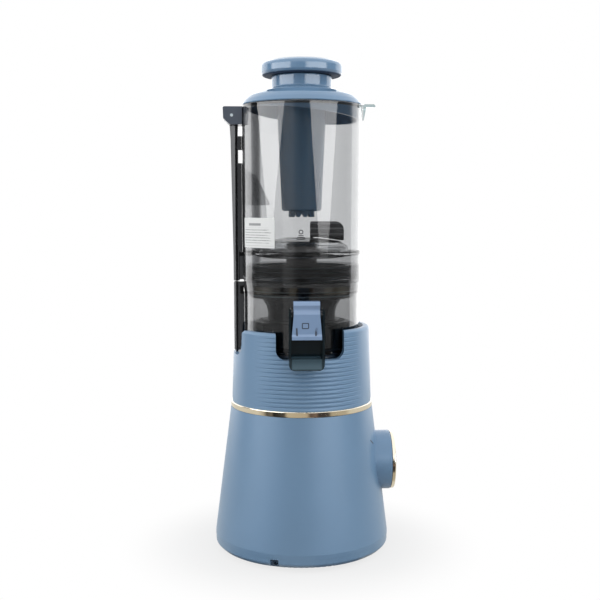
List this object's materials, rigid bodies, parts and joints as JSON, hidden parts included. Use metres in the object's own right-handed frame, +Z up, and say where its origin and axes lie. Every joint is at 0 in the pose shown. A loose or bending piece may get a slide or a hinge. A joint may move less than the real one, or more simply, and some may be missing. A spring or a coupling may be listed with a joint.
{
  "type": "cold press juicer",
  "caption": "Upright slow juicer: tapered base with a side dial, ribbed collar, clear bowl and wide hopper, capped juice spout, pulp chute, auger, strainer and pusher.",
  "frame": {"origin": "on the floor, on the axis of the drive shaft", "axes": "+Z up along the drive shaft; +X towards the dial, -X towards the safety rods, -Y towards the juice spout, +Y towards the pulp chute"},
  "size_m": [0.1708, 0.1953, 0.4595],
  "materials": {
    "blue_plastic": "satin moulded, pale blue",
    "chrome": "bright plated",
    "dark_plastic": "fine matt",
    "grey_plastic": "glass-filled, matt",
    "slate_plastic": "satin, slate",
    "navy_plastic": "satin, navy",
    "strainer_black": "satin, black",
    "smoke_clear": "clear smoky copolyester",
    "smoke_dark": "dark smoky copolyester",
    "rubber": "matt rubber",
    "silicone": "soft silicone",
    "steel": "stainless",
    "motor_steel": "zinc plated can",
    "bronze": "sintered bronze",
    "board": "solder mask"
  },
  "bodies": {
    "base": {"base_housing": "blue_plastic", "upper_housing": "blue_plastic", "chrome_band": "chrome", "bottom_cover": "blue_plastic", "feet": "rubber", "base_screws": "steel", "housing_screws": "steel", "cord_bushing": "rubber", "motor": "motor_steel", "gearbox": "grey_plastic", "gearbox_screws": "steel", "shaft_bearing": "bronze", "shaft_seal": "silicone", "rotary_switch": "dark_plastic", "control_board": "board", "microswitch": "dark_plastic"},
    "drive": {"drive_shaft": "steel"},
    "dial": {"dial_ring": "chrome", "dial_cap": "blue_plastic", "dial_spindle": "steel"},
    "bowl": {"juicing_bowl": "smoke_clear", "bowl_seal": "silicone", "juice_spout": "smoke_dark", "pulp_chute": "smoke_dark", "lower_rod_guide": "smoke_clear", "strainer": "strainer_black", "strainer_collar": "strainer_black", "cap_hinge_pin": "steel"},
    "lower_rod": {"lower_rod": "steel"},
    "juice_cap": {"juice_cap": "blue_plastic", "cap_plug": "silicone"},
    "auger": {"auger_screw": "strainer_black", "auger_head": "strainer_black"},
    "hopper": {"hopper": "smoke_clear", "interlock_head": "slate_plastic", "upper_rod_guide": "smoke_clear"},
    "upper_rod": {"upper_rod": "steel"},
    "lid": {"lid": "blue_plastic", "lid_seal": "silicone"},
    "pusher": {"pusher_cap": "blue_plastic", "pusher_body": "navy_plastic", "pusher_teeth": "navy_plastic"}
  },
  "joints": [
    {"name": "drive_spin", "type": "hinge", "parent": "base", "child": "drive", "pos_m": [0, 0, 0.187], "axis": [0, 0, 1], "continuous": true},
    {"name": "dial_turn", "type": "hinge", "parent": "base", "child": "dial", "pos_m": [0.085, 0, 0.0811], "axis": [1, 0, 0], "range_deg": [-45, 45]},
    {"name": "bowl_lift", "type": "slide", "parent": "base", "child": "bowl", "axis": [0, 0, 1], "range_m": [0, 0.085]},
    {"name": "auger_spin", "type": "hinge", "parent": "bowl", "child": "auger", "pos_m": [0, 0, 0.2], "axis": [0, 0, 1], "continuous": true},
    {"name": "lower_rod_rise", "type": "slide", "parent": "bowl", "child": "lower_rod", "axis": [0, 0, 1], "range_m": [0, 0.004]},
    {"name": "cap_swing", "type": "hinge", "parent": "bowl", "child": "juice_cap", "pos_m": [0, -0.09, 0.234], "axis": [-1, 0, 0], "range_deg": [0, 95]},
    {"name": "hopper_lift", "type": "slide", "parent": "bowl", "child": "hopper", "axis": [0, 0, 1], "range_m": [0, 0.08]},
    {"name": "upper_rod_rise", "type": "slide", "parent": "hopper", "child": "upper_rod", "axis": [0, 0, 1], "range_m": [0, 0.004]},
    {"name": "lid_lift", "type": "slide", "parent": "hopper", "child": "lid", "axis": [0, 0, 1], "range_m": [0, 0.06]},
    {"name": "pusher_lift", "type": "slide", "parent": "lid", "child": "pusher", "axis": [0, 0, 1], "range_m": [0, 0.13]}
  ],
  "couplings": [
    {"joint": "drive_spin", "follows": "auger_spin", "ratio": 1},
    {"joint": "lower_rod_rise", "follows": "lid_lift", "ratio": 0.066667},
    {"joint": "upper_rod_rise", "follows": "lid_lift", "ratio": 0.066667}
  ]
}
